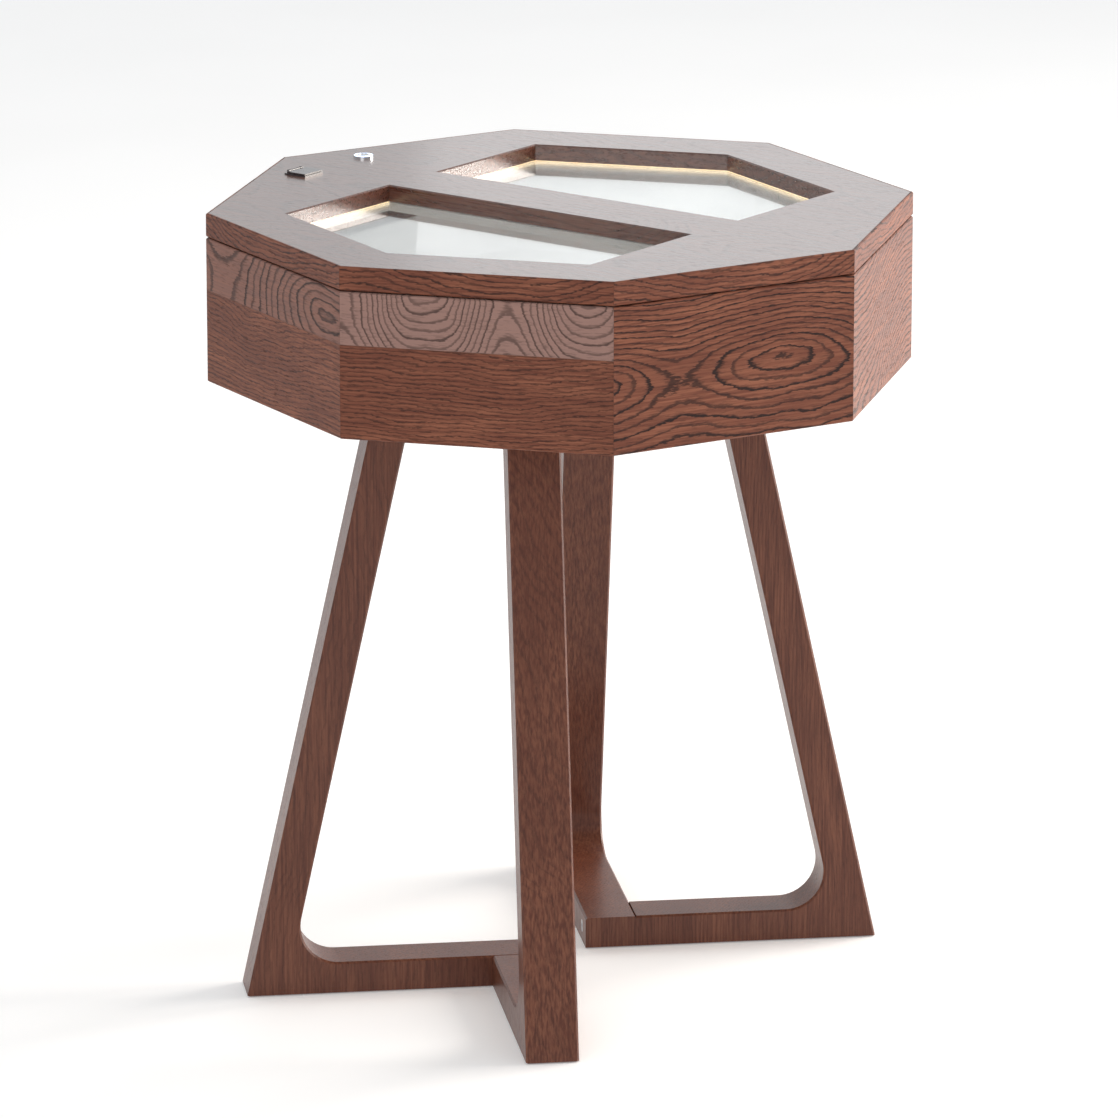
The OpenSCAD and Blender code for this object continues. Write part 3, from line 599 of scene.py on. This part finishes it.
def raw_wood(name, light, dark, ring):
    material, net, shader = new_material(name)
    wood = net.use(
        sawn_wood, Vector=net.place(), Seed=RAW_SEED, Heart_Height=0.3, Heart_Depth=0.4,
        Wander=0.05, Ring_Width=ring,
    )
    body = net.mix(net.smooth(wood["Fibre"], 0.3, 0.7), light, dark)
    net.feed(shader["Base Color"], net.mix(net.times(wood["Line"], 0.5), body, dark))
    net.feed(shader["Roughness"], net.add(net.times(wood["Pore"], 0.1), 0.62))
    bump(net, shader, net.subtract(1.0, wood["Pore"]), 0.0001)
    return material


paint(raw_wood("plywood", PLYWOOD_LIGHT, PLYWOOD_DARK, ring=0.014), "bottom_panel", "mitre_keys")
paint(
    raw_wood("beech", BEECH_LIGHT, BEECH_DARK, ring=0.004),
    "corner_blocks", "floor_battens", "corner_dowels",
)
print("raw timber ready")

# %% [markdown]
# ## Dust, haze and brushed metal as shared groups
#
# Clean plastic and metal look false when they are perfectly even. Two more groups serve the
# smaller pieces: one gives a soft haze with a few specks, the other the fine parallel
# scratches of turned and brushed metal.

# %% Make the haze and brushed groups
SPECKS_PER_CLOUD = 22.0
SCRATCH_LENGTHS = 90.0

net, given, out = new_group(
    "haze",
    [("Vector", "NodeSocketVector", None), ("Scale", "NodeSocketFloat", 40.0)],
    ["Cloud", "Speck"],
)
speck_scale = net.times(given["Scale"], SPECKS_PER_CLOUD)
cloud = net.noise(given["Vector"], given["Scale"], detail=4.0)["Fac"]
speck = net.noise(given["Vector"], speck_scale, detail=1.0)["Fac"]
net.feed(out["Cloud"], net.smooth(cloud, 0.35, 0.65))
net.feed(out["Speck"], net.smooth(speck, 0.62, 0.74))
haze = net.tree

net, given, out = new_group(
    "brushed",
    [("Vector", "NodeSocketVector", None), ("Fineness", "NodeSocketFloat", 3000.0)],
    ["Scratch"],
)
x, y, z = net.split(given["Vector"])
fine = net.join(
    net.times(x, SCRATCH_LENGTHS),
    net.times(y, SCRATCH_LENGTHS),
    net.times(z, given["Fineness"]),
)
net.feed(out["Scratch"], net.noise(fine, 1.0, detail=3.0)["Fac"])
brushed = net.tree
print("haze and brushed ready")

# %% [markdown]
# ## Plastics, laminate and felt
#
# The display floor, its lining and the beads are pale, so that what is on show stands out. The
# parts inside the lid are ordinary moulded plastic. Each takes a base colour, a worn one that
# the haze brings in, and a roughness, so one function serves them all. Scale is the number of
# haze patches per metre, and relief is how deep the specks go, in metres.

# %% Make the plastics


def plastic(name, base, worn, rough, scale=60.0, relief=0.00002, **numbers):
    """A moulded, coated or felted surface with haze in its colour and its roughness."""
    material, net, shader = new_material(name, **numbers)
    dirt = net.use(haze, Vector=net.place(), Scale=scale)
    net.feed(shader["Base Color"], net.mix(net.times(dirt["Cloud"], 0.6), base, worn))
    net.feed(shader["Roughness"], net.add(net.times(dirt["Cloud"], 0.12), rough))
    bump(net, shader, dirt["Speck"], relief)
    return material


paint(
    plastic("pale_laminate", (0.84, 0.84, 0.84, 1), (0.78, 0.78, 0.78, 1), rough=0.28, scale=18.0),
    "display_floor", "wall_lining",
)
paint(
    plastic("pale_beads", (0.82, 0.81, 0.79, 1), (0.74, 0.73, 0.71, 1), rough=0.38),
    "front_glass_beads", "rear_glass_beads",
)
paint(
    plastic("led_tape", (0.86, 0.84, 0.78, 1), (0.7, 0.66, 0.55, 1), rough=0.4),
    "front_led_strip", "rear_led_strip",
)
print("pale plastics ready")

# %% Finish the parts inside the lid and the pads
paint(
    plastic("lead_sleeve", (0.80, 0.79, 0.76, 1), (0.6, 0.58, 0.55, 1), rough=0.45),
    "led_leads",
)
paint(
    plastic(
        "black_plastic", (0.018, 0.018, 0.020, 1), (0.035, 0.035, 0.037, 1),
        rough=0.42, scale=90.0, relief=0.00005,
    ),
    "control_housing", "switch_body",
)
paint(
    plastic("circuit_board", (0.015, 0.13, 0.055, 1), (0.01, 0.08, 0.03, 1), rough=0.3, scale=300.0),
    "control_board",
)
paint(
    plastic("battery_wrap", (0.16, 0.20, 0.30, 1), (0.12, 0.14, 0.2, 1), rough=0.25),
    "battery_pack",
)
paint(
    plastic(
        "felt", (0.05, 0.042, 0.038, 1), (0.09, 0.08, 0.07, 1),
        rough=0.85, scale=900.0, relief=0.0003,
    ),
    "floor_glides", "lid_bumpers",
)
print("inner parts and pads ready")

# %% [markdown]
# ## Steel and brass
#
# Screws and bolts are plated steel, the button and its bezel are brighter, and the hinges are
# satin brass. All of them are metallic, and the fine scratches in their roughness give the
# streaky shine that a flat metal lacks.

# %% Make the metals


def metal(name, base, worn, rough):
    """A plated or brushed surface, duller where the haze lies."""
    material, net, shader = new_material(name, Metallic=1.0)
    place = net.place()
    scratch = net.use(brushed, Vector=place)["Scratch"]
    dirt = net.use(haze, Vector=place, Scale=120.0)["Cloud"]
    net.feed(shader["Base Color"], net.mix(net.times(dirt, 0.5), base, worn))
    net.feed(shader["Roughness"], net.add(net.times(scratch, 0.22), rough))
    bump(net, shader, scratch, 0.00001)
    return material


paint(
    metal("plated_steel", (0.52, 0.53, 0.55, 1), (0.40, 0.40, 0.41, 1), rough=0.24),
    "corner_screws", "leg_plates", "leg_bolts", "hinge_pins", "catch_magnet", "catch_plate",
    "bead_screws", "housing_screws", "button_nut", "usb_socket", "port_pin",
)
paint(
    metal("bright_steel", (0.72, 0.73, 0.75, 1), (0.62, 0.63, 0.65, 1), rough=0.10),
    "button_bezel", "power_button",
)
paint(
    metal("satin_brass", (0.62, 0.42, 0.17, 1), (0.45, 0.29, 0.11, 1), rough=0.22),
    "leg_inserts", "box_hinge_leaves", "lid_hinge_leaves", "box_hinge_screws", "lid_hinge_screws",
)
print("metals ready")

# %% [markdown]
# ## The charging port
#
# The port is polished dark plastic: nearly black on its sides, while its flat cover mirrors
# the bright room. A clear coat over the dark base gives both.

# %% Polish the port
paint(
    plastic(
        "port_plastic", (0.020, 0.008, 0.010, 1), (0.030, 0.014, 0.016, 1),
        rough=0.10, scale=200.0, Coat_Weight=0.8, Coat_Roughness=0.05,
    ),
    "port_housing", "port_cover",
)
print("port ready")

# %% [markdown]
# ## Glass
#
# Clear float glass shows mostly what it mirrors when seen from a low angle. So it stays a
# plain, almost colourless pane, and the studio does the rest. A faint haze in its roughness
# stands for handling and dust. A path tracer finds it hard to send light through solid glass,
# and the display below would be left too dark. So shadow rays and diffuse rays meet a plain
# transparent surface instead, and only what the camera or a mirror sees is true glass.

# %% Glaze the windows
GLASS_TINT = (0.93, 0.97, 0.975, 1)
GLASS_HAZE = (0.90, 0.945, 0.955, 1)


def window_glass():
    """Clear glass that also lets light fall through onto what lies below."""
    material, net, shader = new_material(
        "window_glass", Transmission_Weight=1.0, IOR=1.5, Coat_Weight=0.6)
    film = net.use(haze, Vector=net.place(), Scale=14.0)
    net.feed(shader["Base Color"], net.mix(film["Cloud"], GLASS_TINT, GLASS_HAZE))
    net.feed(shader["Roughness"], net.add(net.times(film["Cloud"], 0.04), 0.015))
    light = net.node("ShaderNodeLightPath").outputs
    passes = net.math("MAXIMUM", light["Is Shadow Ray"], light["Is Diffuse Ray"])
    clear = net.node("ShaderNodeBsdfTransparent")
    clear.inputs["Color"].default_value = GLASS_TINT
    blend = net.node("ShaderNodeMixShader")
    surface = net.tree.nodes["Material Output"].inputs["Surface"]
    net.feed(blend.inputs[0], passes)
    net.feed(blend.inputs[1], net.tree.nodes["Principled BSDF"].outputs["BSDF"])
    net.feed(blend.inputs[2], clear.outputs["BSDF"])
    net.feed(surface, blend.outputs["Shader"])
    return material


paint(window_glass(), "front_glass", "rear_glass")
print("windows glazed")

# %% [markdown]
# ## Things that glow
#
# The diffusers under the glass give a warm line round each window, and the button has a cool
# ring. A diffuser is brightest just under the glass and fades further down, and its light
# varies a little between the lamps behind it. Both come from the glow's colour, while its
# strength stays one number.

# %% Light the diffusers and the button
glow_low, glow_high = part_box("front_diffuser")
FADED_BELOW = glow_low.z + 0.0012
BRIGHT_ABOVE = glow_high.z - 0.0010
WARM_LIGHT = (1.0, 0.66, 0.33, 1)
WARM_PALE = (1.0, 0.76, 0.46, 1)
WARM_FADED = (0.10, 0.08, 0.06, 1)
OPAL = (0.9, 0.86, 0.78, 1)
OPAL_SHADE = (0.86, 0.80, 0.70, 1)
COOL_LIGHT = (0.62, 0.76, 1.0, 1)
COOL_DEEP = (0.42, 0.60, 1.0, 1)


def soft_cloud(net, place, scale):
    """Broad soft patches from 0 to 1."""
    return net.smooth(net.noise(place, scale, detail=1.0)["Fac"], 0.35, 0.65)


def warm_glow():
    """Brightest just under the glass, where the lamps sit, and faded further down."""
    material, net, shader = new_material("warm_diffuser", Roughness=0.4, Emission_Strength=1.6)
    place = net.place()
    height = net.split(place)[2]
    cloud = soft_cloud(net, place, 50.0)
    near_glass = net.smooth(height, FADED_BELOW, BRIGHT_ABOVE)
    light = net.mix(cloud, WARM_LIGHT, WARM_PALE)
    net.feed(shader["Base Color"], net.mix(cloud, OPAL, OPAL_SHADE))
    net.feed(shader["Emission Color"], net.mix(near_glass, WARM_FADED, light))
    return material


def cool_glow():
    """The lit ring round the button, a cool white that leans to blue in patches."""
    material, net, shader = new_material("cool_ring", Roughness=0.3, Emission_Strength=2.6)
    light = net.mix(soft_cloud(net, net.place(), 300.0), COOL_LIGHT, COOL_DEEP)
    net.feed(shader["Base Color"], light)
    net.feed(shader["Emission Color"], light)
    return material


paint(warm_glow(), "front_diffuser", "rear_diffuser")
paint(cool_glow(), "button_light_ring")
print("lights on")

# %% [markdown]
# ## The studio floor
#
# The table stands on a wide pale sheet. It gives off a little light of its own, so that it
# runs into the pale surround without a line, and the table's soft shadow stays visible.

# %% Lay the floor
FLOOR_SIZE = 14.0
FLOOR_PALE = (0.90, 0.90, 0.90, 1)
FLOOR_SHADE = (0.885, 0.885, 0.885, 1)

half = FLOOR_SIZE / 2
floor_corners = [(-half, -half, 0), (half, -half, 0), (half, half, 0), (-half, half, 0)]
floor_mesh = bpy.data.meshes.new("floor")
floor_mesh.from_pydata(floor_corners, [], [(0, 1, 2, 3)])
floor = bpy.data.objects.new("floor", floor_mesh)
scene.collection.objects.link(floor)
material, net, shader = new_material("pale_floor", Roughness=0.6, Emission_Strength=0.2)
shade = net.use(haze, Vector=net.place(), Scale=3.0)["Cloud"]
net.feed(shader["Base Color"], net.mix(shade, FLOOR_PALE, FLOOR_SHADE))
shader["Emission Color"].default_value = FLOOR_PALE
floor_mesh.materials.append(material)
print("floor", FLOOR_SIZE, "m wide")

# %% [markdown]
# ## The lights
#
# Three soft panels do the work: a bright window on the right, a wide, weaker one in front, and
# a small one behind that lays a sheen on the lid. A fourth, tiny one faces down from under the
# lid. It stands for the lamps round the windows, which light the display floor far better than
# the diffusers' own glow could in a short render.

# %% Set up the panels


def soft_panel(name, place, target, width, height, power, colour=(1, 1, 1)):
    """A soft box light that faces a point. The camera never sees it."""
    data = bpy.data.lights.new(name, "AREA")
    data.shape = "RECTANGLE"
    data.size = width
    data.size_y = height
    data.energy = power
    data.color = colour
    lamp = bpy.data.objects.new(name, data)
    lamp.location = place
    lamp.rotation_mode = "QUATERNION"
    lamp.rotation_quaternion = (Vector(target) - Vector(place)).to_track_quat("-Z", "Y")
    lamp.visible_camera = False
    scene.collection.objects.link(lamp)


WARM_DAYLIGHT = (1.0, 0.93, 0.86)
soft_panel(
    "window_panel", place=(3.0, 0.7, 1.3), target=(0.1, 0.0, 0.5),
    width=2.0, height=2.0, power=150, colour=WARM_DAYLIGHT,
)
soft_panel(
    "front_panel", place=(-1.6, -3.4, 2.2), target=(0, 0, 0.4),
    width=2.6, height=2.0, power=30,
)
soft_panel(
    "back_panel", place=(0.80, 1.3, 0.98), target=(0.1, 0.0, 0.6),
    width=1.6, height=0.9, power=1.5,
)

LAMP_GLOW = (1.0, 0.95, 0.88)
BELOW_BEADS = 0.002
under_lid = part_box("front_glass_beads")[0].z - BELOW_BEADS
soft_panel(
    "display_light", place=(0.0, 0.0, under_lid), target=(0.0, 0.0, 0.0),
    width=0.30, height=0.30, power=0.44, colour=LAMP_GLOW,
)
print("four panels lit, the smallest at", round(under_lid, 3), "m")

# %% [markdown]
# ## The surround
#
# What the lacquer and the glass mirror matters as much as what lights them. The surround is
# brighter behind the table than in front, which gives the lid its pale sheen and keeps the
# sides deep. The camera itself sees plain white.

# %% Set up the surround
SURROUND_BRIGHT = 0.79
SURROUND_DIM = 0.60
SURROUND_TINT = (0.965, 0.985, 1.0, 1)
WHITE = (1, 1, 1, 1)
BACKDROP_STRENGTH = 1.2

world = bpy.data.worlds.new("studio")
world.use_nodes = True
net = Net(world.node_tree)
surround = world.node_tree.nodes["Background"]
_, towards_back, _ = net.split(net.node("ShaderNodeTexCoord").outputs["Generated"])
seen = net.node("ShaderNodeLightPath").outputs["Is Camera Ray"]
room = net.smooth(towards_back, -0.7, 0.7, SURROUND_DIM, SURROUND_BRIGHT)
backdrop = net.times(seen, BACKDROP_STRENGTH)
net.feed(surround.inputs["Strength"], net.math("MAXIMUM", room, backdrop))
net.feed(surround.inputs["Color"], net.mix(seen, SURROUND_TINT, WHITE))
scene.world = world
scene.view_settings.view_transform = "Standard"
print("surround ready")
